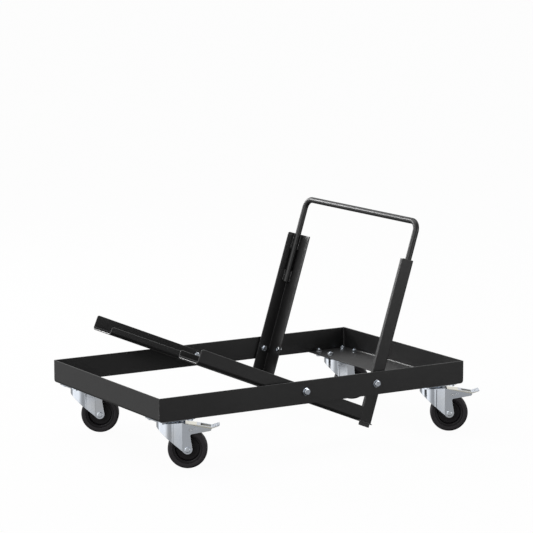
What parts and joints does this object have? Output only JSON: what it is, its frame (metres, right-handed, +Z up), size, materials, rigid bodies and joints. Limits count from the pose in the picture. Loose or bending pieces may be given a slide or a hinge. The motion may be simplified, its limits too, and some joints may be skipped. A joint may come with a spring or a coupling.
{
  "type": "stacking chair trolley",
  "caption": "Low black sheet steel trolley on swivel casters, with a sloping cradle and a bent push bar for carrying stacked chairs.",
  "frame": {"origin": "on the floor, under the centre of the trolley's bounding box", "axes": "+Z up, +X along the trolley towards the push bar, -Y the long side with the braked casters"},
  "size_m": [0.9742, 0.6096, 0.5784],
  "materials": {
    "black_coat": "satin black powder coat",
    "zinc_hardware": "bright zinc plate",
    "zinc_pressing": "bright zinc plate",
    "wheel_plastic": "moulded, matt",
    "wheel_rubber": "moulded rubber, satin"
  },
  "bodies": {
    "base": {"front_side_plate": "black_coat", "rear_side_plate": "black_coat", "left_end_tray": "black_coat", "right_end_tray": "black_coat", "frame_welds": "black_coat", "front_rail": "black_coat", "rear_rail": "black_coat", "front_upright": "black_coat", "rear_upright": "black_coat", "handle_bar": "black_coat", "cradle_bolts": "zinc_hardware", "cradle_washers": "zinc_hardware", "cradle_spacers": "zinc_hardware", "cradle_nuts": "zinc_hardware", "stop_bolts": "zinc_hardware", "stop_nuts": "zinc_hardware", "caster_bolts": "zinc_hardware", "caster_washers": "zinc_hardware", "caster_nuts": "zinc_hardware", "caster_plate_fl": "zinc_hardware", "kingpin_fl": "zinc_hardware", "caster_plate_fr": "zinc_hardware", "kingpin_fr": "zinc_hardware", "caster_plate_rl": "zinc_hardware", "kingpin_rl": "zinc_hardware", "caster_plate_rr": "zinc_hardware", "kingpin_rr": "zinc_hardware"},
    "swivel_fl": {"fork_fl": "zinc_pressing", "axle_bolt_fl": "zinc_hardware", "axle_nut_fl": "zinc_hardware", "hub_sleeve_fl": "zinc_hardware", "brake_pin_fl": "zinc_hardware", "brake_spring_fl": "zinc_hardware"},
    "wheel_fl": {"wheel_core_fl": "wheel_plastic", "tyre_fl": "wheel_rubber"},
    "swivel_fr": {"fork_fr": "zinc_pressing", "axle_bolt_fr": "zinc_hardware", "axle_nut_fr": "zinc_hardware", "hub_sleeve_fr": "zinc_hardware", "brake_pin_fr": "zinc_hardware", "brake_spring_fr": "zinc_hardware"},
    "wheel_fr": {"wheel_core_fr": "wheel_plastic", "tyre_fr": "wheel_rubber"},
    "swivel_rl": {"fork_rl": "zinc_pressing", "axle_bolt_rl": "zinc_hardware", "axle_nut_rl": "zinc_hardware", "hub_sleeve_rl": "zinc_hardware"},
    "wheel_rl": {"wheel_core_rl": "wheel_plastic", "tyre_rl": "wheel_rubber"},
    "swivel_rr": {"fork_rr": "zinc_pressing", "axle_bolt_rr": "zinc_hardware", "axle_nut_rr": "zinc_hardware", "hub_sleeve_rr": "zinc_hardware"},
    "wheel_rr": {"wheel_core_rr": "wheel_plastic", "tyre_rr": "wheel_rubber"},
    "brake_fl": {"brake_pedal_fl": "zinc_pressing"},
    "brake_fr": {"brake_pedal_fr": "zinc_pressing"}
  },
  "joints": [
    {"name": "swivel_fl", "type": "hinge", "parent": "base", "child": "swivel_fl", "pos_m": [-0.42606, -0.2276, 0.1175], "axis": [0, 0, 1], "continuous": true},
    {"name": "roll_fl", "type": "hinge", "parent": "swivel_fl", "child": "wheel_fl", "pos_m": [-0.38936, -0.25, 0.05], "axis": [0.521, 0.8536, 0], "continuous": true},
    {"name": "swivel_fr", "type": "hinge", "parent": "base", "child": "swivel_fr", "pos_m": [0.37494, -0.2276, 0.1175], "axis": [0, 0, 1], "continuous": true},
    {"name": "roll_fr", "type": "hinge", "parent": "swivel_fr", "child": "wheel_fr", "pos_m": [0.41164, -0.25, 0.05], "axis": [0.521, 0.8536, 0], "continuous": true},
    {"name": "swivel_rl", "type": "hinge", "parent": "base", "child": "swivel_rl", "pos_m": [-0.42606, 0.2434, 0.1175], "axis": [0, 0, 1], "continuous": true},
    {"name": "roll_rl", "type": "hinge", "parent": "swivel_rl", "child": "wheel_rl", "pos_m": [-0.38936, 0.221, 0.05], "axis": [0.521, 0.8536, 0], "continuous": true},
    {"name": "swivel_rr", "type": "hinge", "parent": "base", "child": "swivel_rr", "pos_m": [0.37494, 0.2434, 0.1175], "axis": [0, 0, 1], "continuous": true},
    {"name": "roll_rr", "type": "hinge", "parent": "swivel_rr", "child": "wheel_rr", "pos_m": [0.41164, 0.221, 0.05], "axis": [0.521, 0.8536, 0], "continuous": true},
    {"name": "brake_fl", "type": "hinge", "parent": "swivel_fl", "child": "brake_fl", "pos_m": [-0.37143, -0.26094, 0.1045], "axis": [0.521, 0.8536, 0], "range_deg": [0, 6]},
    {"name": "brake_fr", "type": "hinge", "parent": "swivel_fr", "child": "brake_fr", "pos_m": [0.42957, -0.26094, 0.1045], "axis": [0.521, 0.8536, 0], "range_deg": [0, 6]}
  ]
}
